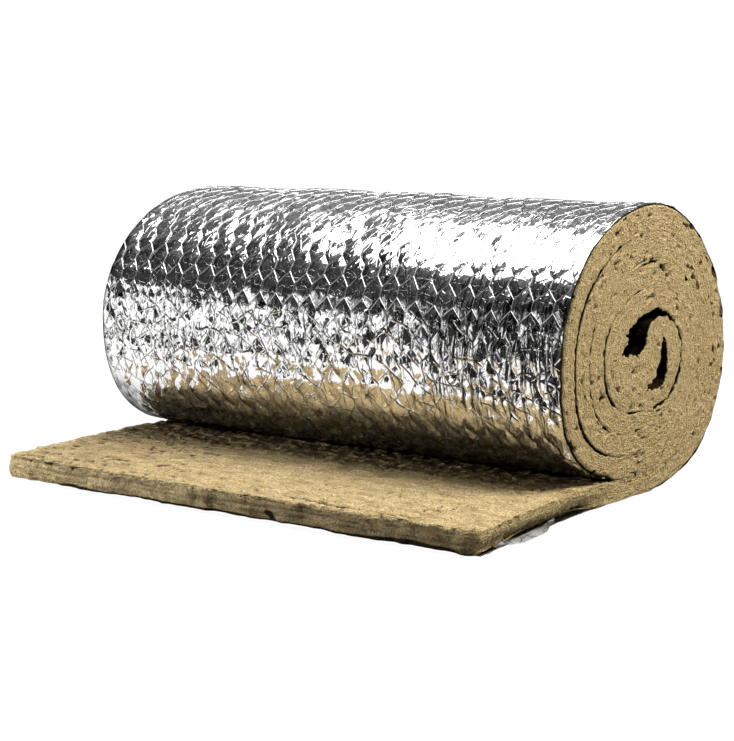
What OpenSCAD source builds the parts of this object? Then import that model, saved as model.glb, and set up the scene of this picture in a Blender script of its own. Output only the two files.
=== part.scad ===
// Foil-faced mineral wool mat, wound into a roll that lies on its side.
// The free end of the mat is pulled out flat in front of the roll and carries it.
// The turns lie tight on each other, so they show as a spiral gap in the ends of a solid roll.
// X runs along the roll, Y from the free end to the back, Z up. Lengths are in millimetres.

/* [Mat] */
// Width of the mat, which is the length of the roll
mat_w = 1000; // [500:10:1250]
// Thickness of the wool
mat_t = 40; // [25:1:80]
// Thickness of the facing: foil, glue and wire netting together
facing_t = 1; // [0.6:0.1:2]
// Length of free mat in front of the roll's flat foot
tail_len = 470; // [320:2:900]
// Rounding of the free end's upper edge
tail_round_r = 9; // [2:0.5:20]

/* [Roll] */
// Full turns wound round the core
turns = 4; // [2:1:8]
// Air between the facing and the next turn
turn_gap = 1; // [0.4:0.1:4]
// Depth to which the gap between the turns is open at each end of the roll
gap_depth = 10; // [4:1:30]
// Length of the flat that the roll has settled into at its top
settle_len = 36; // [20:1:80]
// How much tighter the turns are bent below than above, where the roll has slumped, at its back
back_slump = 44; // [10:1:48]
// The same at its front
front_slump = 17; // [5:1:40]
// Inside radius of the innermost half turn, above
core_r = 52; // [50:1:80]
// Inside radius of the fold where the mat's inner end hangs down in the core
fold_r = 6; // [3:0.5:14]

/* [Hidden] */
$fn = 96;

wool_colour = [0.77, 0.68, 0.48];
foil_colour = [0.80, 0.80, 0.81];

quarter_turn_deg = 90;

// Thickness of the wool and its facing
wall = mat_t + facing_t;
// From the inner face of one turn to the inner face of the next
pitch = wall + turn_gap;
// Inside radius of the outermost half turn, above
outer_turn_r = core_r + turns * pitch;
// The front half turns are wound about a line that is higher than the back one by this
rise = (pitch + back_slump - front_slump) / 2;
back_centre_z = outer_turn_r + wall - back_slump;
front_centre_z = back_centre_z + rise;
// Height of the wool's top, just under the facing
wool_top_z = back_centre_z + outer_turn_r + mat_t;
// The top flats run between these two places, and the others reach further by the slump
flat_back_y = settle_len / 2;
flat_front_y = -settle_len / 2;
// Heights of the core's floor and of the inside of the turn above it
core_floor_z = back_centre_z + back_slump - core_r;
core_ceiling_z = back_centre_z + core_r + pitch;
// The whole part is centred on the Y axis
back_y = flat_back_y + outer_turn_r + wall;
front_y = flat_front_y - tail_len;
centre_y = (front_y + back_y) / 2;

// Inside radius of a half turn above, counted from the outside of the roll
function back_r(turn) = outer_turn_r - turn * pitch;
function front_r(turn) = back_r(turn) - rise;

// Takes a section drawn in Y and Z, and its extrusion, to the roll's own axis
module along_roll()
    translate([0, -centre_y, 0])
        rotate([90, 0, 90])
            translate([0, 0, -mat_w / 2])
                children();

// Part of a ring from an angle over a sweep, or of a disc where r is 0
module bend(centre, r, thick, from_deg, sweep_deg, w = mat_w)
    translate([centre.x, centre.y, 0])
        rotate([0, 0, from_deg])
            rotate_extrude(angle = sweep_deg)
                translate([r, 0])
                    square([thick, w]);

// Straight stretch, from its low corner
module flat(corner, size, w = mat_w)
    translate([corner.x, corner.y, 0])
        cube([size.x, size.y, w]);

// Slumped half turn: a wide quarter above, and a tighter one further out below, where a flat leads to it
module half_turn(centre, slump, r, thick, w) {
    low_r = max(r - slump, 0);
    low_thick = r + thick - slump - low_r;
    bend(centre, r, thick, 0, quarter_turn_deg, w);
    bend([centre.x + slump, centre.y], low_r, low_thick, -quarter_turn_deg, quarter_turn_deg, w);
    flat([centre.x, centre.y - low_r - low_thick], [slump, low_thick], w);
}

module back_turn(r, thick, w = mat_w)
    half_turn([flat_back_y, back_centre_z], back_slump, r, thick, w);

module front_turn(r, thick, w = mat_w)
    mirror([1, 0, 0])
        half_turn([-flat_front_y, front_centre_z], front_slump, r, thick, w);

// The gap between the turns, where it is open at both ends of the roll
module end_gaps() {
    gap = pitch - mat_t;
    for (end_x = [0, mat_w - gap_depth])
        translate([0, 0, end_x])
            for (turn = [1 : turns]) {
                low_z = back_centre_z + back_slump - back_r(turn) - pitch;
                high_z = back_centre_z + back_r(turn) + mat_t;
                back_turn(back_r(turn) + mat_t, gap, gap_depth);
                flat([flat_front_y, low_z], [settle_len, gap], gap_depth);
                if (turn < turns) {
                    front_turn(front_r(turn) + mat_t, gap, gap_depth);
                    flat([flat_front_y, high_z], [settle_len, gap], gap_depth);
                }
            }
}

// The mat's inner end, folded over at the top of the core and hanging down inside it
module inner_end() {
    fold_centre_z = back_centre_z + core_r - fold_r;
    end_z = core_floor_z + turn_gap;
    bend([flat_back_y, fold_centre_z], fold_r, wall, quarter_turn_deg, quarter_turn_deg);
    flat([flat_back_y - fold_r - wall, end_z], [wall, fold_centre_z - end_z]);
}

// Bore of the roll: what the inner end leaves open inside the innermost turn
module core_hollow()
    difference() {
        union() {
            back_turn(0, core_r);
            front_turn(0, front_r(turns - 1));
            flat([flat_front_y, core_floor_z], [settle_len, core_ceiling_z - core_floor_z]);
        }
        inner_end();
    }

// Free end, flat on the floor, with its upper front edge rounded
module tail() {
    round_y = front_y + tail_round_r;
    flat([round_y, facing_t], [flat_back_y - round_y, mat_t]);
    flat([front_y, facing_t], [tail_round_r, mat_t - tail_round_r]);
    bend([round_y, wall - tail_round_r], 0, tail_round_r, quarter_turn_deg, quarter_turn_deg);
}

module wool_mat()
    color(wool_colour)
        along_roll()
            difference() {
                union() {
                    back_turn(0, outer_turn_r + mat_t);
                    front_turn(0, front_r(0) + mat_t);
                    flat([flat_front_y, facing_t], [settle_len, wool_top_z - facing_t]);
                    tail();
                }
                core_hollow();
                end_gaps();
            }

// The facing under the free end and round the outer turn, down to where it is wound in
module foil_facing()
    color(foil_colour)
        along_roll() {
            flat([front_y, 0], [flat_back_y - front_y, facing_t]);
            back_turn(outer_turn_r + mat_t, facing_t);
            flat([flat_front_y, wool_top_z], [settle_len, facing_t]);
            front_turn(front_r(0) + mat_t, facing_t);
        }

wool_mat();
foil_facing();
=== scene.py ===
import math

import bpy
import numpy as np
from mathutils import Matrix, Vector, noise


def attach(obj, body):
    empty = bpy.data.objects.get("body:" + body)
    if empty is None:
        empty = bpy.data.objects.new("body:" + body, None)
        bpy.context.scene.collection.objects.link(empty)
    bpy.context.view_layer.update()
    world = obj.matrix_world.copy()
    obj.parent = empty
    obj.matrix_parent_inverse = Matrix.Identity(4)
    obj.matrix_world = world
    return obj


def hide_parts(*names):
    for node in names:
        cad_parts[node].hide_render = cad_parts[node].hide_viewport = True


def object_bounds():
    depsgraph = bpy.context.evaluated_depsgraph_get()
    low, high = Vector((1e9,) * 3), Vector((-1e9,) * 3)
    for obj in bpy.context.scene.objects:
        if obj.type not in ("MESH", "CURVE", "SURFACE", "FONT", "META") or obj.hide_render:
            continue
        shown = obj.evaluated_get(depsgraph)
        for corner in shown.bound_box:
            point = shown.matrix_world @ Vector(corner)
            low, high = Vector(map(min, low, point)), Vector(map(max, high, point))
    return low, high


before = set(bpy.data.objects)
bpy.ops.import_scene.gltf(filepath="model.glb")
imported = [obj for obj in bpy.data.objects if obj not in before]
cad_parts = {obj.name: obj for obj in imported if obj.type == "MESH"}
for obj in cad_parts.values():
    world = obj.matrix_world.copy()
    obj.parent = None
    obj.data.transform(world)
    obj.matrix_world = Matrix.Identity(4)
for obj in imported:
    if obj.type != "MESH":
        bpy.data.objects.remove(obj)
cad_low, cad_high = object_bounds()

# Photograph: image size in pixels, and where its camera stood, from the middle of the roll
IMAGE_SIZE = (734, 741)
SENSOR_MM = 36.0
FOCAL_PIXELS = 2016.6
CAMERA_AT = (2.1654, -2.8362, 0.7192)
CAMERA_AZIMUTH = math.radians(38.32)
CAMERA_ELEVATION = math.radians(8.81)
CAMERA_ROLL = math.radians(-0.72)

# Mat: its width, and where the front edge of its free end lies from the middle of the roll
MAT_WIDTH = cad_high[0] - cad_low[0]
HALF_WIDTH = MAT_WIDTH / 2
TAIL_FRONT_Y = -0.514
TAIL_FRONT_THICK = 0.0395
# Free end askew: how far its front lies to the right, how far its corners spread, and over what length
TAIL_SKEW = 0.027
TAIL_SPREAD = 0.006
SKEWED_LENGTH = 0.33
# Lengths of free end from its front to the shadow in the nip, and on to where the roll lies on it
NIP_SHADOW = (0.395, 0.43)
NIP_CONTACT = (0.43, 0.46)
# Roll: its middle behind the front of the solid, and the room under the wool for the facing
ROLL_FROM_FRONT = 0.490
ROLL_Y = cad_low[1] + ROLL_FROM_FRONT
FLOOR_CLEAR = 0.0024

# Turns: the settled ovals that the outer face follows, from the outside to the core, as (y, z)
TURN = 2 * math.pi
TURNS_TO_CORE = 5.0
FORMED_TURNS = 4.0
OUTER_OVAL = {
    "bottom": (0.012, 0.0), "back": (0.2864, 0.217),
    "top": (0.022, 0.4984), "front": (-0.2805, 0.236),
}
CORE_OVAL = {
    "bottom": (0.045, 0.171), "back": (0.0977, 0.222),
    "top": (0.030, 0.2746), "front": (-0.066, 0.240),
}
# How round the ovals are in each quarter
BACK_LOW_POWER, BACK_HIGH_POWER = 0.90, 1.04
FRONT_LOW_POWER, FRONT_HIGH_POWER = 0.75, 0.98
# Usual thickness of a turn, and its shares that are left to the gap inside it and to the facing outside
LAYER_THICK = 0.042
TURN_GAP_SHARE = 0.03
WOOL_SKIN_SHARE = 0.03

# Inner end of the mat: the outer and the inner face of the fold that hangs in the core
FOLD_OUTER = [
    (0.086, 0.148), (0.118, 0.186), (0.126, 0.232), (0.105, 0.270), (0.064, 0.290), (0.029, 0.287),
    (0.011, 0.268), (0.007, 0.249), (-0.010, 0.234), (-0.040, 0.238), (-0.078, 0.240),
]
FOLD_INNER = [
    (0.058, 0.170), (0.072, 0.178), (0.080, 0.197), (0.077, 0.229), (0.0715, 0.245), (0.069, 0.245),
    (0.063, 0.231), (0.056, 0.206), (0.034, 0.183), (0.002, 0.163), (-0.064, 0.180),
]
# Where the innermost turn is thicker, in turns, and by how much
SWELL_AT, SWELL_SPREAD, SWELL = 3.69, 0.08, 0.024

# Wool: its colours, from light fibre to the painted shade of its pits and of the gaps between turns, and its
# lumps and grain
WOOL_LIGHT = (0.80, 0.645, 0.375)
WOOL_PATCH = (0.44, 0.33, 0.16)
WOOL_STRAND = (0.28, 0.195, 0.085)
WOOL_SHADE = (0.26, 0.185, 0.085)
WOOL_PIT_SHADE = (0.07, 0.045, 0.02)
# Painted shade and shadow, also used for dark lay streaks
WOOL_PAINTED_SHADE_AND_STREAK = (0.012, 0.008, 0.004)
LUMP_HEIGHT, LUMPS_PER_METRE = 0.0014, 70
GRAIN_HEIGHT, GRAINS_PER_METRE = 0.0016, 160
# UV maps of the mat's sides and cuts: their scale along and in depth, and where they lie apart from its faces
SIDE_ALONG, SIDE_DEPTH, SIDE_AT = 2.5, 0.24, 10
CUT_DEPTH, CUT_AT = 0.12, 20

# Wire netting: width and height of its cells, and its twists and wires
NET_WIDTH = 0.0375
NET_ROW = 0.0365
TWIST_LENGTH = 0.017
TWIST_RADIUS = 0.00072
WIRE_RADIUS = 0.00054
NET_LIFT = 0.0013
# Netting's borders: its distances from the mat's edges, and the winding angle where it ends
NET_FROM_RIGHT, NET_FROM_LEFT, NET_FROM_FRONT = 0.003, 0.006, 0.03
NET_END = 338

# Long creases along the roll: the winding angle of each, and the part across the mat that it covers
LONG_CREASES = [
    (243, -0.49, -0.36), (251, -0.47, -0.18), (240, 0.02, 0.20), (248, -0.02, 0.10), (232, -0.30, -0.10),
]

# Foil: its finish, how far it bulges out between the wires, and how steep its folds are
FOIL_ROUGHNESS = 0.08
BULGE = 0.0008
FOLD_SLOPE = 0.035
# Direction and spacing of its larger folds
FOLDS = [(12, 0.024), (55, 0.019), (82, 0.026), (118, 0.021), (150, 0.029)]
# How much it is crushed at winding angles
CRUSHED = [
    (150, 0.5), (205, 0.45), (226, 0.25), (250, 0.3), (256, 1.0),
    (282, 1.0), (290, 0.5), (318, 0.45), (340, 0.5),
]
# How bright its grey is at winding angles: painted shade that falls to black at the dark nip
SHADE = [(150, 0.88), (286, 0.88), (300, 0.94), (316, 0.86), (330, 0.42), (341, 0.01)]
# Sizes of its facets and their slopes along and across, and the size of those painted darker low at the front
# as painted dark reflections
FACETS = [(0.024, 0.07, 0.24), (0.013, 0.06, 0.13)]
LOW_FACET = 0.013
# Direction and spacing of its fine creases, and of the upright ones at its right edge, and their height
CREASES = [(25, 0.027), (70, 0.023), (98, 0.021), (140, 0.031)]
HEM_STREAKS = [(84, 0.018), (88, 0.023), (92, 0.016), (96, 0.027)]
CREASE_DEPTH = 0.0009
# Loose strip beside the free end: where it begins, its length, its width and how high it arches
FLAP_FROM, FLAP_LENGTH, FLAP_WIDTH, FLAP_RISE = 0.075, 0.185, 0.023, 0.0055

# Studio: pairs of a height on the cards round the roll and how bright they are there
FRONT_LEVELS = [
    (0.0, 0.95), (1.6, 0.85), (2.4, 0.5), (3.2, 0.05), (6.0, 0.03), (9.4, 0.06), (13.0, 0.15), (24.0, 0.25),
]
BACK_LEVELS = [(0.0, 0.8), (0.9, 0.42), (4.0, 0.27), (9.5, 0.28), (13.0, 0.34), (24.0, 0.3)]
LOW_LEVELS = [(0.0, 1.0), (0.5, 1.0)]
FAR_HEIGHT, LOW_HEIGHT = 24.0, 0.5
# The place along X where the cards are bright, where that begins and stops to fade, and what is left then
FAR_BRIGHT = (-5.6, 2.2, 4.5, 0.08)
LOW_BRIGHT = (-0.95, 0.42, 0.68, 0.03)
FLOOR_SIZE = 60
END_LIGHT = (1.0, 0.95, 0.84)


def deselect_all():
    for chosen in list(bpy.context.selected_objects):
        chosen.select_set(False)


def only_select(piece):
    deselect_all()
    piece.select_set(True)
    bpy.context.view_layer.objects.active = piece


# Patterns on a flat sheet, from two lengths
def scatter(i, j, seed):
    """A fixed random number from 0 to 1 for each pair of whole numbers."""
    return np.modf(np.abs(np.sin(i * 12.9898 + j * 78.233 + seed * 37.719) * 43758.5453))[0]


def soft_noise(u, v, size, seed):
    """Smooth noise from -1 to 1, with bumps as large as size."""
    u, v = u / size, v / size
    i, j = np.floor(u), np.floor(v)
    s, t = u - i, v - j
    s, t = s * s * (3 - 2 * s), t * t * (3 - 2 * t)
    low = scatter(i, j, seed) * (1 - s) + scatter(i + 1, j, seed) * s
    high = scatter(i, j + 1, seed) * (1 - s) + scatter(i + 1, j + 1, seed) * s
    return 2 * (low * (1 - t) + high * t) - 1


def zigzag(phase):
    """A wave of straight slopes, from 0 to 1."""
    return np.abs(2 * (phase - np.floor(phase)) - 1)


def ramp(value, low, high):
    """A smooth step from 0 at the first limit to 1 at the second, which may be the smaller one."""
    share = np.clip((value - low) / (high - low), 0, 1)
    return share * share * (3 - 2 * share)


# The wound mat
def oval(extremes, angle):
    """Points (y, z) of an oval at angles counted from its bottom towards its back."""
    sine, cosine = np.sin(angle), np.cos(angle)
    side = np.where((sine >= 0)[:, None], extremes["back"], extremes["front"])
    cap = np.where((cosine >= 0)[:, None], extremes["bottom"], extremes["top"])
    back_power = np.where(cosine >= 0, BACK_LOW_POWER, BACK_HIGH_POWER)
    front_power = np.where(cosine >= 0, FRONT_LOW_POWER, FRONT_HIGH_POWER)
    power = np.where(sine >= 0, back_power, front_power)
    y = cap[:, 0] + (side[:, 0] - cap[:, 0]) * np.abs(sine) ** power
    z = side[:, 1] + (cap[:, 1] - side[:, 1]) * np.abs(cosine) ** power
    return np.stack([y, z], 1)


def turn_point(angle):
    """The outer face of the mat at a winding angle, on a spiral between the two ovals."""
    share = (1 - angle / (TURN * TURNS_TO_CORE))[:, None]
    core = oval(CORE_OVAL, angle)
    return core + share * (oval(OUTER_OVAL, angle) - core)


def smooth_line(points, steps):
    """A smooth line through a few points."""
    points = np.asarray(points)
    padded = np.concatenate([2 * points[:1] - points[1:2], points, 2 * points[-1:] - points[-2:-1]])
    at = np.linspace(0, len(points) - 1 - 1e-9, steps)
    first = at.astype(int)
    t = (at - first)[:, None]
    a, b, c, d = (padded[first + k] for k in range(4))
    return 0.5 * (2 * b + (c - a) * t + (2 * a - 5 * b + 4 * c - d) * t**2 + (3 * b - a - 3 * c + d) * t**3)


def wound_lines():
    """Outer and inner face of the wound mat as lines in (y, z), from the free end to the core."""
    steps, turn_steps, fold_steps = 240, 2400, 260
    start = np.array(OUTER_OVAL["bottom"])
    tail_y = np.linspace(TAIL_FRONT_Y, start[0], steps)[:-1]
    along = (tail_y - TAIL_FRONT_Y) / (start[0] - TAIL_FRONT_Y)
    under_roll = turn_point(np.array([TURN]))[0]
    tail_outer = np.stack([tail_y, np.zeros_like(tail_y)], 1)
    thick = TAIL_FRONT_THICK + (under_roll[1] - TAIL_FRONT_THICK) * ramp(along, 0.6, 1)
    tail_inner = np.stack([tail_y + (under_roll[0] - start[0]) * along**4, thick], 1)
    angle = np.linspace(0, TURN * FORMED_TURNS, turn_steps)
    turn_outer, turn_inner = turn_point(angle), turn_point(angle + TURN)
    turn_inner[:, 0] += SWELL * np.exp(-((angle / TURN - SWELL_AT) / SWELL_SPREAD) ** 2)
    fold_outer = smooth_line([turn_outer[-1], *FOLD_OUTER], fold_steps)[1:]
    fold_inner = smooth_line([turn_inner[-1], *FOLD_INNER], fold_steps)[1:]
    outer = np.concatenate([tail_outer, turn_outer, fold_outer])
    inner = np.concatenate([tail_inner, turn_inner, fold_inner])
    middle = (outer + inner) / 2
    length = np.concatenate([[0], np.cumsum(np.linalg.norm(np.diff(middle, axis=0), axis=1))])
    return outer, inner, length, angle, length[steps - 1:steps - 1 + len(angle)]


OUTER_LINE, INNER_LINE, LINE_LENGTH, TURN_ANGLES, TURN_LENGTHS = wound_lines()
MAT_LENGTH = LINE_LENGTH[-1]


def length_at(degrees):
    """Length of mat from the free end to a winding angle."""
    return float(np.interp(math.radians(degrees), TURN_ANGLES, TURN_LENGTHS))


TAIL_LENGTH, TOP_LENGTH, FRONT_LENGTH, NIP_LENGTH = (length_at(degrees) for degrees in (0, 180, 270, 360))


def outward_line():
    """The direction out of the mat at each point of its outer face."""
    tangent = np.gradient(OUTER_LINE, axis=0)
    tangent /= np.linalg.norm(tangent, axis=1)[:, None] + 1e-12
    return np.stack([tangent[:, 1], -tangent[:, 0]], 1)


OUTWARD_LINE = outward_line()


def on_line(line, along):
    """Points of a line at lengths along the mat."""
    return np.stack([np.interp(along, LINE_LENGTH, line[:, k]) for k in range(2)], 1)


def settle(x, section):
    """Places a section point of the roll at x, with the soft unevenness of the whole roll."""
    y, z = section[:, 0], section[:, 1]
    free = ramp(z, 0.03, 0.15)
    y = y + free * (0.0022 * np.sin(9 * x + 11 * z) + 0.0014 * np.sin(23 * x - 17 * z + 1))
    z = z + free * (0.0018 * np.sin(8 * x + 9 * y + 2) + 0.0012 * np.sin(27 * x + 13 * y))
    return np.stack([x, y + ROLL_Y, z + FLOOR_CLEAR], 1)


def tail_width(along, across):
    """Where a point of the mat lies across, with the free end askew and its front corners rounded."""
    right = across > 0
    skew = TAIL_SKEW + TAIL_SPREAD * across / HALF_WIDTH
    skew = skew * np.clip(1 - along / SKEWED_LENGTH, 0, 1) ** 1.3
    corner = np.where(right, 0.014, 0.009)
    into = np.clip(1 - along / corner, 0, 1)
    rounded = corner * (1 - np.sqrt(1 - into**2))
    return across + skew - np.where(right, rounded, -rounded) * np.abs(across / HALF_WIDTH)


def gap_open(along, across, depth):
    """How far the gap beside a turn is open at the roll's ends: 0 where shut, 1 at its usual width."""
    angle = np.interp(along, TURN_LENGTHS, TURN_ANGLES) + TURN * (depth > 0.5)
    front_side = np.clip(-np.sin(angle), 0, 1)
    outermost = ramp(angle, 2.1 * TURN, 1.9 * TURN)
    innermost = ramp(angle, 2.9 * TURN, 3.1 * TURN)
    slack = -0.14 + front_side * (0.35 + 1.4 * outermost + 0.7 * innermost)
    slack = slack + 0.55 * soft_noise(angle, np.sign(across) * 3, 0.31, 3)
    slack = slack + 0.5 * soft_noise(angle, across, 0.08, 4)
    frayed = 1.3 + 1.5 * soft_noise(along, across, 0.013, 16)
    frayed = frayed + 1.7 * soft_noise(along, across, 0.0055, 17)
    rests = ramp(angle, 0.935 * TURN, 0.955 * TURN)
    contact = np.where(depth > 0.5, ramp(along, *NIP_CONTACT), rests)
    unformed = np.where(angle > TURN, frayed, 1 - contact)
    formed = (angle > TURN) & (angle < FORMED_TURNS * TURN)
    return np.where(formed, np.clip(slack, 0, 2.2), unformed)


def end_relief(along, across, depth, edge, opened):
    """How deep the wool is sunk at the ends of the mat, and how dark it is painted there: painted shade in
    the gaps between turns, in pits and strokes and along the outer turn at the front, and painted shadow
    under the lifted right edge.
    """
    wound = ramp(along, TAIL_LENGTH - 0.05, TAIL_LENGTH + 0.1)
    # Painted shade in the gaps between the turns, at their lips
    lip = np.exp(-(edge / 0.0014) ** 2) * np.clip(opened, 0.12, 1) * wound
    deep = depth * LAYER_THICK
    # Pits and strokes are sunk, and painted with shade in them
    pit = ramp(soft_noise(along / 2.0, deep, 0.0062, 5), 0.62, 0.80)
    pit = pit * ramp(soft_noise(along, deep, 0.03, 10), -0.2, 0.1)
    stroke = ramp(soft_noise(along + 0.4 * deep, deep / 4, 0.0042, 7), 0.1, 0.9) * (1 - wound)
    sunk = 0.0025 * lip + 0.010 * pit * wound + 0.003 * stroke
    # Painted shadow under the right edge of the free end where it is lifted
    lifted = ramp(along, 0.07, 0.15) * ramp(along, 0.40, 0.31) * ramp(depth, 0.42, 0.08) * (across > 0)
    # Painted shade on the outer turn at the front of the roll's ends
    in_front = ramp(along, length_at(205), length_at(240)) * ramp(along, length_at(350), length_at(335))
    rim = in_front * ramp(depth, 0.42, 0.08) * (0.5 + 0.25 * soft_noise(along, deep, 0.02, 26))
    return sunk, np.clip(lip + pit * wound + 0.3 * stroke + lifted + rim, 0, 1)


def top_relief(along, across):
    """The same for the top of the free end: streaks, pits and a crack near its front edge, with painted shade
    in the pits and the crack and a painted shadow before the nip.
    """
    streak = soft_noise(across / 4, along, 0.010, 14) * ramp(along, 0.0, 0.03)
    pit = ramp(soft_noise(across, along / 1.3, 0.0056, 15), 0.62, 0.80)
    pit = pit * ramp(soft_noise(across, along, 0.07, 18), -0.3, 0.1)
    crack_at = 0.026 + 0.005 * np.sin(across * 17)
    crack = ramp(np.abs(along - crack_at), 0.006, 0.002) * ramp(np.abs(across - 0.24), 0.17, 0.1)
    rough = soft_noise(across, along / 2, 0.0055, 19) + soft_noise(across / 2, along, 0.0075, 20)
    # Darker where the rough top is sunk deeper, and darker towards its left side
    tone = 0.45 * ramp(rough, 0.4, 1.4) + 0.30 * ramp(across, 0.05, -0.4)
    sunk = 0.0011 * (streak + rough) + 0.006 * pit + 0.006 * crack
    # Painted shade in the pits and the crack, and the painted shadow before the nip
    return sunk, np.clip(pit + crack + ramp(along, *NIP_SHADOW) + tone, 0, 1)


def front_shift(along, across, depth):
    """How far the front face of the free end is drawn in: rounded below and above, and ragged."""
    low_part, high_part = ramp(depth, 0.45, 0.0), ramp(depth, 0.82, 1.0)
    deep = depth * 0.04
    ragged = 0.0045 * soft_noise(across, deep, 0.05, 8) + 0.003 * soft_noise(across, deep, 0.016, 9)
    return ramp(along, 0.03, 0.0) * (0.004 * low_part**2 + 0.0045 * high_part**2 + ragged)


def front_dark(along, across, depth):
    """How dark the wool is at the front of the free end: a painted shadow line along its lower edge, lay
    streaks over painted shade that darkens the whole front face and grows towards its right, and painted
    shade in a crack.
    """
    high = np.clip(0.006 + 0.009 * soft_noise(across, 0 * along, 0.13, 12), 0, 0.012)
    # Painted shadow line along the lower edge of the front face
    foot_shadow = ramp(along, 0.02, 0.0) * ramp(depth, 0.08 + 17 * high, 0.04 + 12 * high)
    foot_shadow = foot_shadow * ramp(across, -0.42, -0.28)
    # Lay streaks, over painted shade on the whole front face that is darker towards the right
    waved = across / 12 + 0.1 * depth * soft_noise(across, depth, 0.2, 24)
    lay = soft_noise(waved, depth * LAYER_THICK, 0.0042, 21)
    lay_streaks_and_shade = (0.2 + 0.35 * ramp(lay, -0.2, 0.7)) * (0.8 + 0.25 * ramp(across, -0.3, 0.4))
    # Painted shade in a tear across the front face
    tear_at = 0.11 - 0.02 * depth + 0.004 * soft_noise(across, depth, 0.2, 25)
    tear_shade = ramp(np.abs(across - tear_at), 0.009, 0.002) * ramp(depth, 0.62, 0.3)
    return foot_shadow + ramp(along, 0.004, 0.0) * (lay_streaks_and_shade + tear_shade)


def side_lift(along, across, depth):
    """How far the lower right edge of the free end is lifted off the floor."""
    lift = 0.016 * ramp(along, 0.07, 0.18) * ramp(along, 0.38, 0.28)
    return lift * ramp(across, HALF_WIDTH - 0.022, HALF_WIDTH) * ramp(depth, 0.35, 0.0)


def wool_point(along, across, depth):
    """A point of the wool at a share of the mat's depth from its outer face, and how dark it is painted
    there, mostly with painted shade and shadow.
    """
    outer, inner = on_line(OUTER_LINE, along), on_line(INNER_LINE, along)
    thick = np.linalg.norm(inner - outer, axis=1)
    end_share = np.abs(across / HALF_WIDTH) ** 40
    edge = np.minimum(depth - WOOL_SKIN_SHARE, 1 - TURN_GAP_SHARE - depth) * thick
    opened = gap_open(along, across, depth)
    depth = 0.5 + (depth - 0.5) * (1 + 0.064 * (1 - opened) * end_share)
    section = outer + (inner - outer) * depth[:, None]
    sunk, dark = end_relief(along, across, depth, edge, opened)
    x = tail_width(along, across) - np.sign(across) * end_share * (sunk + 0.002)
    undercut = ramp(depth, 0.75, 0.0) * ramp(along, 0.44, 0.32)
    x = x - 0.012 * ramp(across, HALF_WIDTH - 0.01, HALF_WIDTH) * undercut
    top = ramp(depth, 0.85, 0.97) * (along < TAIL_LENGTH)
    top_sunk, top_dark = top_relief(along, across)
    section[:, 0] += front_shift(along, across, depth)
    section[:, 1] += side_lift(along, across, depth) - top * top_sunk
    dark = end_share * dark + top * top_dark * (1 - end_share) + front_dark(along, across, depth)
    return settle(x, section), np.clip(dark, 0, 1)


def facing_point(along, across, height):
    """A point that stands out from the mat's outer face by a height."""
    section = on_line(OUTER_LINE, along) + on_line(OUTWARD_LINE, along) * height[:, None]
    return settle(tail_width(along, across), section)


# Making pieces from grids
def write_uv(piece, uv):
    """Gives each point of a piece its place on the UV map."""
    corner = np.empty(len(piece.data.loops), int)
    piece.data.loops.foreach_get("vertex_index", corner)
    piece.data.uv_layers[0].data.foreach_set("uv", uv[corner].ravel())


def grid_sheet(name, columns, rows, place):
    """A flat grid, shaped by a function of its two shares that gives its points, UV map and marks."""
    deselect_all()
    bpy.ops.mesh.primitive_grid_add(x_subdivisions=columns, y_subdivisions=rows, size=1)
    sheet = bpy.context.object
    sheet.name = sheet.data.name = name
    share = read_points(sheet)[:, :2] + 0.5
    points, uv, marks = place(share[:, 0], share[:, 1])
    write_points(sheet, points)
    write_uv(sheet, uv)
    for mark, values in marks.items():
        sheet.data.attributes.new(mark, "FLOAT", "POINT").data.foreach_set("value", values)
    sheet.data.update()
    return sheet


def join_sheets(name, sheets, merge=0.00005):
    """Joins sheets into one piece, merges their shared borders and turns their faces outwards."""
    deselect_all()
    for sheet in sheets:
        sheet.select_set(True)
    bpy.context.view_layer.objects.active = sheets[0]
    bpy.ops.object.join()
    piece = bpy.context.object
    piece.name = piece.data.name = name
    if merge:
        bpy.ops.object.mode_set(mode="EDIT")
        bpy.ops.mesh.select_all(action="SELECT")
        bpy.ops.mesh.remove_doubles(threshold=merge)
        bpy.ops.mesh.normals_make_consistent(inside=False)
        bpy.ops.object.mode_set(mode="OBJECT")
    return piece


def read_points(piece):
    flat = np.empty(len(piece.data.vertices) * 3)
    piece.data.vertices.foreach_get("co", flat)
    return flat.reshape(-1, 3)


def write_points(piece, points):
    piece.data.vertices.foreach_set("co", points.ravel())
    piece.data.update()


def delete_points(piece, unwanted):
    """Deletes the points of a piece that are marked as unwanted."""
    only_select(piece)
    bpy.ops.object.mode_set(mode="EDIT")
    bpy.ops.mesh.select_mode(type="VERT")
    bpy.ops.mesh.select_all(action="DESELECT")
    bpy.ops.object.mode_set(mode="OBJECT")
    piece.data.vertices.foreach_set("select", unwanted)
    bpy.ops.object.mode_set(mode="EDIT")
    bpy.ops.mesh.delete(type="VERT")
    bpy.ops.object.mode_set(mode="OBJECT")


def finish_piece(piece, material, crease_degrees):
    piece.data.materials.clear()
    piece.data.materials.append(material)
    only_select(piece)
    bpy.ops.object.shade_smooth_by_angle(angle=math.radians(crease_degrees))
    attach(piece, "root")


# Wool
def to_ends(share):
    """Shares across the mat, drawn towards its ends."""
    from_middle = 2 * share - 1
    return 0.5 + 0.5 * np.sign(from_middle) * (1 - (1 - np.abs(from_middle)) ** 3)


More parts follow.
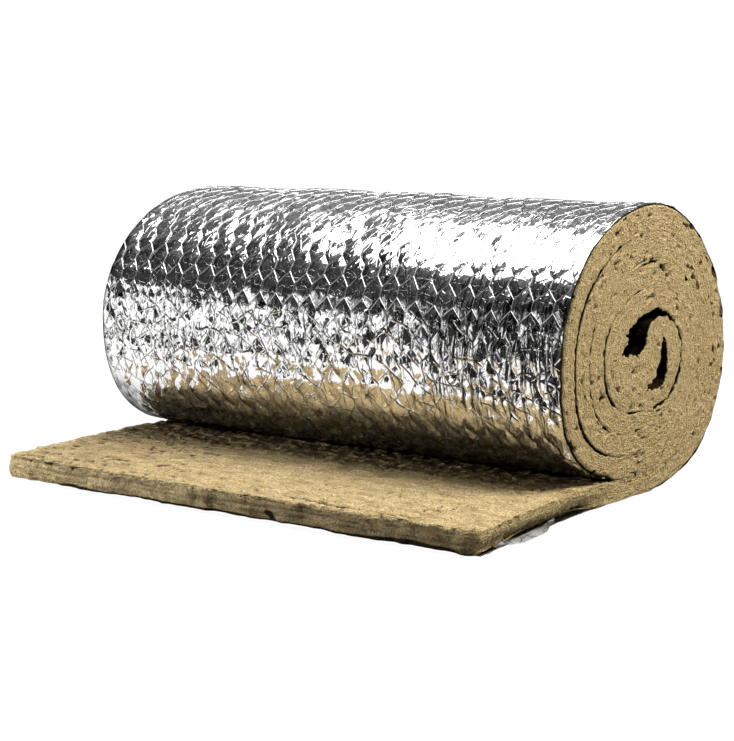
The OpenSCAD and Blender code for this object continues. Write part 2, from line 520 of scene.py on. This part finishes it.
def wool_shell(name, begin, end, along_step, across_cells, depth_cells, covered):
    """A closed length of the mat from six grids, coarse and drawn in where other turns cover it."""
    columns = int(round((end - begin) / along_step))
    low, high = WOOL_SKIN_SHARE, 1 - TURN_GAP_SHARE

    def to_across(share):
        return ((to_ends(share) if covered else share) - 0.5) * MAT_WIDTH

    def to_depth(share):
        return low + (high - low) * (0.5 - 0.5 * np.cos(share * math.pi))

    def draw_in(across, depth):
        """Which points are hidden between the ends, and depths that are drawn in there."""
        hidden = covered & (np.abs(across) < HALF_WIDTH - 0.001)
        return hidden, depth + 0.3 * hidden * (0.5 - depth)

    def face(depth):
        def place(u, v):
            along, across = begin + u * (end - begin), to_across(v)
            hidden, depths = draw_in(across, np.full(len(u), depth))
            points, dark = wool_point(along, across, depths)
            # Painted shade: points hidden between the turns are painted fully dark
            dark = np.where(hidden, 1.0, dark)
            return points, np.stack([across, along], 1), {"depth": depths, "dark": dark}
        return grid_sheet(name, columns, across_cells, place)

    def side(across):
        def place(u, v):
            along, depth = begin + u * (end - begin), to_depth(v)
            points, dark = wool_point(along, np.full(len(u), across), depth)
            uv = np.stack([along * SIDE_ALONG, depth * SIDE_DEPTH + SIDE_AT], 1)
            return points, uv, {"depth": depth, "dark": dark}
        return grid_sheet(name, columns, depth_cells, place)

    def cut(along):
        def place(u, v):
            across = to_across(u)
            _, depth = draw_in(across, to_depth(v))
            points, dark = wool_point(np.full(len(u), along), across, depth)
            uv = np.stack([across, depth * CUT_DEPTH + CUT_AT], 1)
            return points, uv, {"depth": depth, "dark": dark}
        return grid_sheet(name, across_cells, depth_cells, place)

    sides = [side(-HALF_WIDTH), side(HALF_WIDTH)]
    return join_sheets(name, [face(low), face(high)] + sides + [cut(begin), cut(end)])


def roughen_wool(piece):
    """Lumps and grain of the wool, everywhere but under the foil, and calmer on the front face."""
    points = read_points(piece)
    depth = np.empty(len(points))
    piece.data.attributes["depth"].data.foreach_get("value", depth)
    flat = np.empty(len(points) * 3)
    piece.data.vertex_normals.foreach_get("vector", flat)
    normals = flat.reshape(-1, 3)
    lumps = np.array([noise.noise(Vector(p) * LUMPS_PER_METRE) for p in points])
    grain = np.array([noise.noise(Vector(p) * GRAINS_PER_METRE + Vector((7, 3, 1))) for p in points])
    bare = ramp(depth, WOOL_SKIN_SHARE + 0.01, 0.16)
    calm = 1 - 0.3 * ramp(-normals[:, 1], 0.2, 0.6) * (points[:, 1] < ROLL_Y + TAIL_FRONT_Y + 0.02)
    move = (LUMP_HEIGHT * lumps + GRAIN_HEIGHT * grain) * calm
    write_points(piece, points + normals * (move * bare)[:, None])


# Foil and netting
def net_warp(along, across):
    """Unevenness of the netting, as shifts along and across the mat."""
    return (0.0035 * soft_noise(along, across, 0.085, 21) + 0.0016 * soft_noise(along, across, 0.03, 22),
            0.0040 * soft_noise(along, across, 0.095, 23) + 0.0018 * soft_noise(along, across, 0.03, 24))


def wire_distance(along, across):
    """Distance to the nearest wire on the even netting."""
    across = across + HALF_WIDTH
    row = np.round(along / NET_ROW)
    from_row = np.abs(along - row * NET_ROW)
    from_twist = np.abs((across / NET_WIDTH - 0.5 * np.mod(row, 2) + 0.5) % 1 - 0.5) * NET_WIDTH
    to_twist = np.hypot(from_twist, np.clip(from_row - TWIST_LENGTH / 2, 0, None))
    run = np.array([NET_ROW - TWIST_LENGTH, NET_WIDTH / 2])
    run_length = np.hypot(*run)
    off_along, off_across = from_row - TWIST_LENGTH / 2, from_twist
    share = np.clip((off_along * run[0] + off_across * run[1]) / run_length**2, 0, 1)
    to_wire = np.hypot(off_along - share * run[0], off_across - share * run[1])
    return np.minimum(to_twist, to_wire)


def foil_folds(along, across):
    """Height of the foil's larger folds, with straight slopes."""
    fold = np.zeros_like(along)
    for seed, (degrees, spacing) in enumerate(FOLDS):
        lean = math.radians(degrees)
        phase = (along * math.cos(lean) + across * math.sin(lean)) / spacing
        phase = phase + 0.9 * soft_noise(along, across, 0.05, 50 + seed)
        share = np.clip(0.5 + 1.2 * soft_noise(along, across, 0.04, 70 + seed), 0, 1.3)
        fold = fold + FOLD_SLOPE * spacing * share * zigzag(phase)
    return fold


def foil_wrinkles(along, across):
    """Height of the upright wrinkles at the edges of the mat, low at the front."""
    hem = ramp(across, HALF_WIDTH - 0.38, HALF_WIDTH - 0.14)
    hem = hem + ramp(-across, HALF_WIDTH - 0.08, HALF_WIDTH - 0.02)
    there = hem * ramp(np.abs(along - FRONT_LENGTH - 0.03), 0.20, 0.10)
    phase = across / 0.0135 + 0.8 * soft_noise(along * 0.3, across, 0.03, 80)
    return 0.0017 * there * zigzag(phase) * (1 + 0.6 * soft_noise(along, across, 0.03, 82))


def foil_creases(along, across):
    """Height of the long creases along the roll."""
    crease = np.zeros_like(along)
    for angle, begin, end in LONG_CREASES:
        line = length_at(angle) + 0.004 * soft_noise(across, across, 0.08, angle)
        there = ramp(across, begin, begin + 0.03) * ramp(across, end, end - 0.03)
        crease += 0.0022 * there * np.exp(-((along - line) / 0.003) ** 2)
    return crease


def foil_height(along, across, away):
    """How far the foil stands out from the mat, at a distance from the wires."""
    low_front = ramp(np.abs(along - FRONT_LENGTH - 0.02), 0.16, 0.08)
    near = 1 - ramp(away, 0.0005, 0.010)
    bulge = BULGE * (1 - np.exp(-(away / 0.0045) ** 2)) * (1 + 0.6 * soft_noise(along, across, 0.03, 31))
    calm = ramp(across, -0.30, -0.05) * ramp(np.abs(along - length_at(211)), 0.11, 0.06)
    bulge = bulge * (1 - 0.7 * calm) * (1 - 0.6 * low_front)
    crushed = (0.5 + 0.9 * low_front) * (1 + 0.45 * soft_noise(along, across, 0.09, 32))
    rumple = foil_folds(along, across) * crushed + foil_wrinkles(along, across)
    crease = foil_creases(along, across)
    loose = ramp(along, TAIL_LENGTH + 0.02, TAIL_LENGTH + 0.12) * ramp(along, NIP_LENGTH, NIP_LENGTH - 0.08)
    return 0.0004 + loose * (bulge + rumple * (1 - 0.9 * near) + crease * (1 - 0.5 * near))


def foil_sheet(begin, end, cells, inset, crumpled):
    """A length of the foil, with a slightly ragged edge."""
    def place(u, v):
        along = begin + u * (end - begin)
        across = (v - 0.5) * (MAT_WIDTH - 2 * inset)
        across = across * (1 + 0.004 * (soft_noise(along, across, 0.02, 41) - 1) * (np.abs(v - 0.5) > 0.499))
        shift_along, shift_across = net_warp(along, across)
        away = wire_distance(along - shift_along, across - shift_across)
        height = foil_height(along, across, away) if crumpled else np.zeros(len(u))
        points = facing_point(along, across, height)
        return points, np.stack([along, across], 1), {}
    return grid_sheet("foil", *cells, place)


def foil_flap():
    """The strip of foil that comes out from under the right side of the free end and lies on the floor."""
    def place(u, v):
        along = FLAP_FROM + FLAP_LENGTH * u
        out = FLAP_WIDTH * v * ramp(u, 0.0, 0.25) * ramp(u, 1.0, 0.6)
        arch = ramp(v, 0.0, 0.4) * (1 - v) / 0.6 * (1 + 0.3 * soft_noise(along, v, 0.035, 43))
        points = facing_point(along, np.full(len(u), HALF_WIDTH - 0.012), -FLAP_RISE * arch)
        points[:, 0] += out
        return points, np.stack([along, v * 0.03], 1), {}
    return grid_sheet("foil", 48, 6, place)


def foil_cell(middle):
    """The foil in one cell of the netting, flat, as rings from the wires to its middle."""
    half, twist, tip = NET_WIDTH / 2, TWIST_LENGTH / 2, NET_ROW - TWIST_LENGTH / 2
    corners = [(-half, -twist), (-half, twist), (0, tip), (half, twist), (half, -twist), (0, -tip)]
    corners.append(corners[0])
    turns = np.cumsum([0, 3, 6, 6, 3, 6, 6])
    inwards = np.array([0, 0.07, 0.22, 0.52, 1])

    def place(u, v):
        at = u * turns[-1]
        rim = np.stack([np.interp(at, turns, [corner[k] for corner in corners]) for k in range(2)], 1)
        left = 1 - inwards[np.round(v * (len(inwards) - 1)).astype(int)]
        flat = rim * left[:, None] + np.array(middle)
        return np.column_stack([flat, np.zeros(len(u))]), flat, {}
    return grid_sheet("foil", turns[-1], len(inwards) - 1, place)


def repeat_over_mat(piece, begin, end):
    """Repeats two rows of netting or of its cells over flat mat, and gives places along, across and out."""
    columns = math.ceil(MAT_WIDTH / NET_WIDTH) + 1
    rows = math.ceil((end - begin) / NET_ROW / 2)
    for name, count, step in (("across", columns, (NET_WIDTH, 0, 0)), ("along", rows, (0, 2 * NET_ROW, 0))):
        array = piece.modifiers.new(name, "ARRAY")
        array.count = count
        array.use_relative_offset = False
        array.use_constant_offset = True
        array.constant_offset_displace = step
        bpy.ops.object.modifier_apply(modifier=name)
    flat = read_points(piece)
    return flat[:, 1] + begin, flat[:, 0] - HALF_WIDTH, flat[:, 2]


def foil_cells(begin, end):
    """The foil as cells that bulge out between the wires, up to straight borders."""
    pair = [foil_cell((-NET_WIDTH / 2, 0)), foil_cell((0, NET_ROW))]
    cells = join_sheets("foil", pair, merge=0.00001)
    first = math.floor(begin / NET_ROW / 2) * 2 * NET_ROW
    along, across, _ = repeat_over_mat(cells, first, end + NET_ROW)
    away = wire_distance(along, across)
    shift_along, shift_across = net_warp(along, across)
    edge = HALF_WIDTH - 0.002 - 0.002 * (1 + soft_noise(along, across, 0.02, 41)) - 0.003 * (across < 0)
    along = np.clip(along + shift_along, begin, end)
    across = np.clip(across + shift_across, -edge, edge)
    height = foil_height(along, across, away) * ramp(edge - np.abs(across), 0.0, 0.006)
    write_points(cells, facing_point(along, across, height))
    write_uv(cells, np.stack([along, across], 1))
    bpy.ops.object.mode_set(mode="EDIT")
    bpy.ops.mesh.select_all(action="SELECT")
    bpy.ops.mesh.remove_doubles(threshold=0.00002)
    bpy.ops.mesh.dissolve_degenerate(threshold=0.00002)
    bpy.ops.mesh.normals_make_consistent(inside=False)
    bpy.ops.object.mode_set(mode="OBJECT")
    return cells


def make_foil():
    """The foil under the free end, round the back, in the netting's cells at the front, and wound in."""
    seam = TOP_LENGTH - 0.06
    under = foil_sheet(0.012, TAIL_LENGTH, cells=(40, 60), inset=0.002, crumpled=False)
    back = foil_sheet(TAIL_LENGTH, seam + 0.004, cells=(115, 165), inset=0.002, crumpled=True)
    front = foil_cells(seam, NIP_LENGTH)
    wound_in = foil_sheet(NIP_LENGTH, MAT_LENGTH - 0.01, cells=(420, 8), inset=0.02, crumpled=False)
    return join_sheets("foil_sheet", [under, back, front, wound_in, foil_flap()], merge=0)


def tube(start, end, radius, sides, rings, beads):
    """A wire on a flat sheet from one place to another, beaded where two wires are twisted."""
    start, end = np.array(start), np.array(end)
    run = (end - start) / np.linalg.norm(end - start)
    sideways = np.array([-run[1], run[0]])

    def place(u, v):
        angle = u * TURN
        size = radius * (1 + beads * np.cos(v * TURN * rings / 2))
        middle = start + (end - start) * v[:, None]
        flat = middle + sideways * (size * np.cos(angle))[:, None]
        points = np.stack([flat[:, 0], flat[:, 1], size * np.sin(angle)], 1)
        return points, np.stack([u, v], 1), {}
    return grid_sheet("net", sides, rings, place)


def make_net():
    """One cell of the netting, repeated over a flat sheet and then wound onto the mat."""
    half, twist = NET_WIDTH / 2, TWIST_LENGTH / 2
    cell = []
    for x, y in ((0, 0), (half, NET_ROW)):
        cell.append(tube((x, y - twist), (x, y + twist), TWIST_RADIUS, sides=5, rings=4, beads=0.2))
    for x, y, aside in ((0, 0, half), (0, 0, -half), (half, NET_ROW, half), (half, NET_ROW, -half)):
        end = (x + aside, y + NET_ROW - twist)
        cell.append(tube((x, y + twist), end, WIRE_RADIUS, sides=4, rings=3, beads=0))
    net = join_sheets("wire_netting", cell, merge=0.00001)
    along, across, out = repeat_over_mat(net, 0.0, NIP_LENGTH - 2 * NET_ROW)
    shift_along, shift_across = net_warp(along, across)
    along, across = along + shift_along, across + shift_across
    sunk = 0.0018 * ramp(np.abs(along - length_at(298)), 0.20, 0.15)
    write_points(net, facing_point(along, across, out + NET_LIFT - sunk))
    aside = (across > HALF_WIDTH - NET_FROM_RIGHT) | (across < NET_FROM_LEFT - HALF_WIDTH)
    delete_points(net, aside | (along < NET_FROM_FRONT) | (along > length_at(NET_END)))
    return net


# Materials
def new_material(name, roughness, metallic):
    material = bpy.data.materials.new(name)
    material.use_nodes = True
    shader = material.node_tree.nodes["Principled BSDF"]
    shader.inputs["Roughness"].default_value = roughness
    shader.inputs["Metallic"].default_value = metallic
    return material, material.node_tree, shader


def add_node(tree, kind, settings=(), **values):
    node = tree.nodes.new(kind)
    for name, value in dict(settings).items():
        setattr(node, name, value)
    for name, value in values.items():
        node.inputs[name.replace("_", " ")].default_value = value
    return node


def add_noise(tree, coords, scale, detail, stretch=(1, 1, 1)):
    mapping = add_node(tree, "ShaderNodeMapping", Scale=stretch)
    tree.links.new(coords, mapping.inputs["Vector"])
    texture = add_node(tree, "ShaderNodeTexNoise", Scale=scale, Detail=detail, Roughness=0.6)
    tree.links.new(mapping.outputs["Vector"], texture.inputs["Vector"])
    return texture.outputs["Fac"]


def add_range(tree, value, low, high, to_low=0.0, to_high=1.0):
    node = add_node(tree, "ShaderNodeMapRange", From_Min=low, From_Max=high, To_Min=to_low, To_Max=to_high)
    tree.links.new(value, node.inputs["Value"])
    return node.outputs["Result"]


def add_math(tree, operation, first, second):
    node = add_node(tree, "ShaderNodeMath", {"operation": operation})
    for socket, value in zip(node.inputs, (first, second)):
        if isinstance(value, float):
            socket.default_value = value
        else:
            tree.links.new(value, socket)
    return node.outputs["Value"]


def add_split(tree, vector):
    """The three parts of a vector."""
    node = add_node(tree, "ShaderNodeSeparateXYZ")
    tree.links.new(vector, node.inputs["Vector"])
    return node.outputs["X"], node.outputs["Y"], node.outputs["Z"]


def add_sum(tree, values):
    total = values[0]
    for value in values[1:]:
        total = add_math(tree, "ADD", total, value)
    return total


def add_mix(tree, share, first, second):
    node = add_node(tree, "ShaderNodeMix", {"data_type": "RGBA"})
    tree.links.new(share, node.inputs["Factor"])
    for name, value in (("A", first), ("B", second)):
        socket = next(s for s in node.inputs if s.name == name and s.type == "RGBA")
        if isinstance(value, tuple):
            socket.default_value = (*value, 1)
        else:
            tree.links.new(value, socket)
    return next(s for s in node.outputs if s.type == "RGBA")


def add_bump(tree, height, strength, distance):
    bump = add_node(tree, "ShaderNodeBump", Strength=strength, Distance=distance)
    tree.links.new(height, bump.inputs["Height"])
    return bump.outputs["Normal"]


def set_tones(tones, levels):
    """Sets a colour ramp to pairs of a position and a grey level."""
    points = tones.color_ramp.elements
    for _ in range(len(levels) - 2):
        points.new(0.5)
    for point, (position, level) in zip(points, levels):
        point.position = position
        point.color = (level, level, level, 1)


def grey(level):
    return (level, level, level)


def add_pits(tree, place):
    """Small pits in groups, 1 where they are deepest; they set the pits' bump and the painted shade in them.
    """
    cells = add_node(tree, "ShaderNodeTexVoronoi", Scale=165.0)
    tree.links.new(place, cells.inputs["Vector"])
    pits = add_range(tree, cells.outputs["Distance"], 0.10, 0.24, 1.0, 0.0)
    some = add_range(tree, add_noise(tree, place, 45.0, 2.0), 0.44, 0.54)
    return add_math(tree, "MULTIPLY", pits, some)


def make_wool_material():
    material, tree, shader = new_material("wool", roughness=1.0, metallic=0.0)
    shader.inputs["Specular IOR Level"].default_value = 0.1
    coords = add_node(tree, "ShaderNodeTexCoord")
    place, lay = coords.outputs["Object"], coords.outputs["UV"]
    grain = add_noise(tree, place, 330.0, 4.0)
    strands = add_noise(tree, lay, 1.0, 5.0, (20, 60, 1))
    patches = add_noise(tree, place, 14.0, 3.0)
    pits = add_pits(tree, place)
    dark = add_node(tree, "ShaderNodeAttribute", {"attribute_name": "dark"}).outputs["Fac"]
    colour = add_mix(tree, add_range(tree, grain, 0.32, 0.60), WOOL_SHADE, WOOL_LIGHT)
    colour = add_mix(tree, add_range(tree, strands, 0.38, 0.58, 0.62, 0.0), colour, WOOL_STRAND)
    colour = add_mix(tree, add_range(tree, patches, 0.35, 0.7, 0.34, 0.0), colour, WOOL_PATCH)
    # Painted shade in the small pits of the wool
    colour = add_mix(tree, add_math(tree, "MULTIPLY", pits, 0.85), colour, WOOL_PIT_SHADE)
    # The dark mark: painted shade and shadow in gaps, pits, cracks, under edges and at the nip, with some
    # dark lay streaks and darker grain
    colour = add_mix(tree, add_range(tree, dark, 0.2, 0.75, 0.0, 0.97), colour, WOOL_PAINTED_SHADE_AND_STREAK)
    tree.links.new(colour, shader.inputs["Base Color"])
    height = add_math(tree, "ADD", grain, add_math(tree, "MULTIPLY", strands, 0.6))
    height = add_math(tree, "SUBTRACT", height, add_math(tree, "MULTIPLY", pits, 0.8))
    tree.links.new(add_bump(tree, height, 1.0, 0.006), shader.inputs["Normal"])
    return material


def add_vector_math(tree, operation, *values):
    node = add_node(tree, "ShaderNodeVectorMath", {"operation": operation})
    for socket, value in zip(node.inputs, values):
        if isinstance(value, tuple):
            socket.default_value = value
        else:
            tree.links.new(value, socket)
    return node.outputs["Value" if operation in ("DOT_PRODUCT", "LENGTH") else "Vector"]


def add_facets(tree, flat, size, lean_along, lean_across):
    """Height of flat facets on a UV map in metres, each tilted its own way."""
    cells = add_node(tree, "ShaderNodeTexVoronoi", {"voronoi_dimensions": "2D"}, Scale=1 / size)
    tree.links.new(flat, cells.inputs["Vector"])
    from_middle = add_vector_math(tree, "SUBTRACT", flat, cells.outputs["Position"])
    tilt = add_vector_math(tree, "SUBTRACT", cells.outputs["Color"], (0.5, 0.5, 0.5))
    tilt = add_vector_math(tree, "MULTIPLY", tilt, (2 * lean_along, 2 * lean_across, 0.0))
    return add_vector_math(tree, "DOT_PRODUCT", from_middle, tilt)


def add_crease(tree, flat, degrees, spacing, stretch=1.0, width=0.13):
    """Height of narrow creases across a UV map in metres, here and there."""
    turn = (0, 0, math.radians(degrees))
    turned = add_node(tree, "ShaderNodeMapping", Rotation=turn, Scale=(stretch, 1, 1))
    tree.links.new(flat, turned.inputs["Vector"])
    wave = add_node(tree, "ShaderNodeTexWave", {"wave_type": "BANDS", "wave_profile": "TRI"},
                    Scale=math.pi / 10 / spacing, Distortion=9.0, Detail=1.5, Detail_Scale=0.8)
    tree.links.new(turned.outputs["Vector"], wave.inputs["Vector"])
    line = add_range(tree, wave.outputs["Fac"], 0.0, width, 1.0, 0.0)
    where = add_range(tree, add_noise(tree, flat, 30.0 + degrees / 20, 1.0), 0.45, 0.55, 0.0, CREASE_DEPTH)
    return add_math(tree, "MULTIPLY", line, where)


def add_angle_range(tree, along, first, last, to_first=0.0, to_last=1.0):
    """A level that changes between two winding angles."""
    return add_range(tree, along, length_at(first), length_at(last), to_first, to_last)


def add_angle_tones(tree, along, levels):
    """Grey levels from pairs of a winding angle and a level."""
    begin, end = length_at(levels[0][0]), length_at(levels[-1][0])
    tones = add_node(tree, "ShaderNodeValToRGB")
    tree.links.new(add_range(tree, along, begin, end), tones.inputs["Fac"])
    set_tones(tones, [((length_at(angle) - begin) / (end - begin), level) for angle, level in levels])
    return tones.outputs["Color"]


def add_foil_colour(tree, flat, creased, streaks, low_left):
    """Grey of the foil, with painted shade at its left rim, in its creases and upright streaks and towards
    the nip, and painted dark reflections low at the left and facet by facet low at the front.
    """
    along, across = add_split(tree, flat)[:2]
    # Painted shade at its left rim, widened low at the left into a painted dark reflection
    rim = add_math(tree, "MAXIMUM", low_left, add_range(tree, across, -0.493, -0.484, 0.95, 0.0))
    # Painted shade that darkens the foil towards the nip
    colour = add_mix(tree, rim, add_angle_tones(tree, along, SHADE), grey(0.02))
    # Painted shade in its creases
    lines = add_range(tree, creased, 0.05 * CREASE_DEPTH, 0.9 * CREASE_DEPTH, 0.0, 0.5)
    colour = add_mix(tree, lines, colour, grey(0.04))
    # Painted shade in the upright streaks on its right part
    upright = add_range(tree, streaks, 0.1 * CREASE_DEPTH, 0.8 * CREASE_DEPTH)
    upright = add_math(tree, "MULTIPLY", upright, add_angle_range(tree, along, 236, 246))
    upright = add_math(tree, "MULTIPLY", upright, add_angle_range(tree, along, 282, 300, 0.85, 0.0))
    colour = add_mix(tree, upright, colour, grey(0.03))
    # Painted dark reflections, facet by facet, low at the front
    cells = add_node(tree, "ShaderNodeTexVoronoi", {"voronoi_dimensions": "2D"}, Scale=1 / LOW_FACET)
    tree.links.new(flat, cells.inputs["Vector"])
    tone = add_node(tree, "ShaderNodeSeparateColor")
    tree.links.new(cells.outputs["Color"], tone.inputs["Color"])
    low = add_angle_range(tree, along, 286, 298, 0.0, 0.6)
    return add_mix(tree, add_math(tree, "MULTIPLY", tone.outputs["Red"], low), colour, grey(0.06))


def make_foil_material():
    material, tree, shader = new_material("foil", FOIL_ROUGHNESS, metallic=1.0)
    shader.inputs["Specular Tint"].default_value = (*grey(0.7), 1)
    flat = add_node(tree, "ShaderNodeUVMap").outputs["UV"]
    along, across = add_split(tree, flat)[:2]
    creased = add_sum(tree, [add_crease(tree, flat, *crease) for crease in CREASES])
    streaks = add_sum(tree, [add_crease(tree, flat, *streak, 0.3, 0.28) for streak in HEM_STREAKS])
    streaks = add_math(tree, "MULTIPLY", streaks, add_range(tree, across, 0.16, 0.34))
    height = add_sum(tree, [add_facets(tree, flat, *facet) for facet in FACETS] + [creased, streaks])
    height = add_math(tree, "MULTIPLY", height, add_angle_tones(tree, along, CRUSHED))
    tree.links.new(add_bump(tree, height, 1.0, 1.0), shader.inputs["Normal"])
    # Painted dark reflection low at the left of the foil, where it is also rougher
    low_left = add_range(tree, across, -0.488, -0.445, 0.97, 0.0)
    low_left = add_math(tree, "MULTIPLY", low_left, add_angle_range(tree, along, 286, 310))
    colour = add_foil_colour(tree, flat, creased, streaks, low_left)
    tree.links.new(colour, shader.inputs["Base Color"])
    dull = add_range(tree, along, TAIL_LENGTH, TAIL_LENGTH + 0.05, 0.55, FOIL_ROUGHNESS)
    dull = add_math(tree, "MAXIMUM", dull, add_math(tree, "MULTIPLY", low_left, 0.6))
    dull = add_math(tree, "MAXIMUM", dull, add_angle_range(tree, along, 332, 341, 0.0, 0.9))
    tree.links.new(dull, shader.inputs["Roughness"])
    return material


def make_wire_material():
    material, _, shader = new_material("galvanised_wire", roughness=0.44, metallic=1.0)
    shader.inputs["Base Color"].default_value = (0.92, 0.92, 0.93, 1)
    return material


# Camera and studio
def add_camera():
    data = bpy.data.cameras.new("photo_camera")
    data.sensor_width = SENSOR_MM
    data.lens = FOCAL_PIXELS * SENSOR_MM / max(IMAGE_SIZE)
    camera = bpy.data.objects.new("photo_camera", data)
    bpy.context.scene.collection.objects.link(camera)
    place = Vector(CAMERA_AT) + Vector((0, ROLL_Y, 0))
    camera.matrix_world = (
        Matrix.Translation(place)
        @ Matrix.Rotation(CAMERA_AZIMUTH, 4, "Z")
        @ Matrix.Rotation(math.radians(90) - CAMERA_ELEVATION, 4, "X")
        @ Matrix.Rotation(CAMERA_ROLL, 4, "Z")
    )
    bpy.context.scene.camera = camera


def seen_directly(tree):
    """1 for rays from the camera and for mirrored and see-through ones, else 0."""
    path = add_node(tree, "ShaderNodeLightPath")
    seen = add_math(tree, "MAXIMUM", path.outputs["Is Camera Ray"], path.outputs["Is Glossy Ray"])
    return add_math(tree, "MAXIMUM", seen, path.outputs["Is Transmission Ray"])


def new_bare_material(name):
    """A material with no shader yet."""
    material = bpy.data.materials.new(name)
    material.use_nodes = True
    material.node_tree.nodes.remove(material.node_tree.nodes["Principled BSDF"])
    return material, material.node_tree


def make_floor_material():
    material, tree = new_bare_material("white_floor")
    dull = add_node(tree, "ShaderNodeBsdfDiffuse", Color=(0.12, 0.12, 0.12, 1))
    glow = add_node(tree, "ShaderNodeEmission", Color=(1, 1, 1, 1))
    coords = add_node(tree, "ShaderNodeTexCoord")
    away = add_vector_math(tree, "LENGTH", coords.outputs["Object"])
    level = add_range(tree, away, 0.4, 1.4, 0.92, 1.0)
    tree.links.new(add_math(tree, "MULTIPLY", seen_directly(tree), level), glow.inputs["Strength"])
    both = add_node(tree, "ShaderNodeAddShader")
    tree.links.new(dull.outputs["BSDF"], both.inputs[0])
    tree.links.new(glow.outputs["Emission"], both.inputs[1])
    tree.links.new(both.outputs["Shader"], tree.nodes["Material Output"].inputs["Surface"])
    return material


def make_card_material(name, height, levels, patch_size, patch_levels, bright):
    """A glow whose level changes with height and in patches, and falls off away from a place along X."""
    material, tree = new_bare_material(name)
    coords = add_node(tree, "ShaderNodeTexCoord")
    x, _, z = add_split(tree, coords.outputs["Object"])
    share = add_range(tree, z, 0.0, height)
    tones = add_node(tree, "ShaderNodeValToRGB")
    tree.links.new(share, tones.inputs["Fac"])
    set_tones(tones, [(at / height, level) for at, level in levels])
    patches = add_noise(tree, coords.outputs["Object"], 1 / patch_size, 3.0, (1, 1, 0.45))
    uneven = add_range(tree, patches, *patch_levels)
    bright_x, near, far, level = bright
    aside = add_math(tree, "ABSOLUTE", add_math(tree, "SUBTRACT", x, bright_x), 0.0)
    uneven = add_math(tree, "MULTIPLY", uneven, add_range(tree, aside, near, far, 1.0, level))
    glow = add_node(tree, "ShaderNodeEmission")
    tree.links.new(tones.outputs["Color"], glow.inputs["Color"])
    tree.links.new(uneven, glow.inputs["Strength"])
    tree.links.new(glow.outputs["Emission"], tree.nodes["Material Output"].inputs["Surface"])
    return material


def add_card(name, front, radius, height, levels, patch_size, patch_levels, bright):
    """Half a ring of card round the roll, which only shiny surfaces see."""
    deselect_all()
    bpy.ops.mesh.primitive_cylinder_add(vertices=64, radius=radius, depth=height, end_fill_type="NOTHING")
    card = bpy.context.object
    card.name = name
    points = read_points(card) + np.array([0, 0, height / 2])
    write_points(card, points)
    delete_points(card, points[:, 1] > 0.01 if front else points[:, 1] < -0.01)
    card.data.materials.append(make_card_material(name, height, levels, patch_size, patch_levels, bright))
    card.visible_camera = card.visible_diffuse = card.visible_shadow = False


def add_light(name, place, target, size, power):
    bpy.ops.object.light_add(type="AREA", location=place)
    light = bpy.context.object
    light.name = name
    light.data.shape = "RECTANGLE"
    light.data.size, light.data.size_y = size
    light.data.energy = power
    light.rotation_euler = (Vector(target) - Vector(place)).to_track_quat("-Z", "Y").to_euler()
    return light


def add_floor():
    deselect_all()
    bpy.ops.mesh.primitive_plane_add(size=FLOOR_SIZE)
    floor = bpy.context.object
    floor.name = "floor"
    floor.data.materials.append(make_floor_material())


def add_world():
    """A white world that is strong only where it is seen directly or mirrored."""
    world = bpy.data.worlds.new("studio")
    bpy.context.scene.world = world
    world.use_nodes = True
    tree = world.node_tree
    strength = add_range(tree, seen_directly(tree), 0.0, 1.0, 0.04, 1.0)
    tree.nodes["Background"].inputs["Color"].default_value = (1, 1, 1, 1)
    tree.links.new(strength, tree.nodes["Background"].inputs["Strength"])


def add_studio():
    add_floor()
    add_card("dark_front", True, 9.0, FAR_HEIGHT, FRONT_LEVELS, 1.8, (0.35, 0.65, 0.3, 1.7), FAR_BRIGHT)
    add_card("grey_back", False, 9.2, FAR_HEIGHT, BACK_LEVELS, 1.8, (0.35, 0.65, 0.5, 1.5), FAR_BRIGHT)
    add_card("low_front", True, 1.05, LOW_HEIGHT, LOW_LEVELS, 0.2, (0.40, 0.50, 0.02, 1.5), LOW_BRIGHT)
    add_light("top_box", (-0.25, 0.28, 2.6), (-0.25, 0.28, 0), size=(2.9, 2.05), power=80)
    end_box = add_light("end_box", (2.4, 0.6, 2.8), (0.5, 0.1, 0.25), size=(1.4, 1.4), power=192)
    end_box.data.color = END_LIGHT
    left_fill = add_light("left_fill", (-1.1, -1.0, 0.12), (-0.4, -0.38, 0.0), size=(0.5, 0.2), power=18)
    for light in (end_box, left_fill):
        light.visible_glossy = False
    add_world()


add_camera()

wool_tail = wool_shell(
    "wool_free_end", 0.0, TAIL_LENGTH, along_step=0.0036, across_cells=275, depth_cells=16, covered=False)
wool_roll = wool_shell(
    "wool_roll", TAIL_LENGTH, MAT_LENGTH, along_step=0.0027, across_cells=7, depth_cells=20, covered=True)
wool_material = make_wool_material()
for wool in (wool_tail, wool_roll):
    roughen_wool(wool)
    finish_piece(wool, wool_material, crease_degrees=60)
    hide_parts("wool_mat")

foil = make_foil()
finish_piece(foil, make_foil_material(), crease_degrees=30)
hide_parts("foil_facing")

net = make_net()
finish_piece(net, make_wire_material(), crease_degrees=60)

add_studio()
bpy.context.scene.view_settings.view_transform = "Standard"
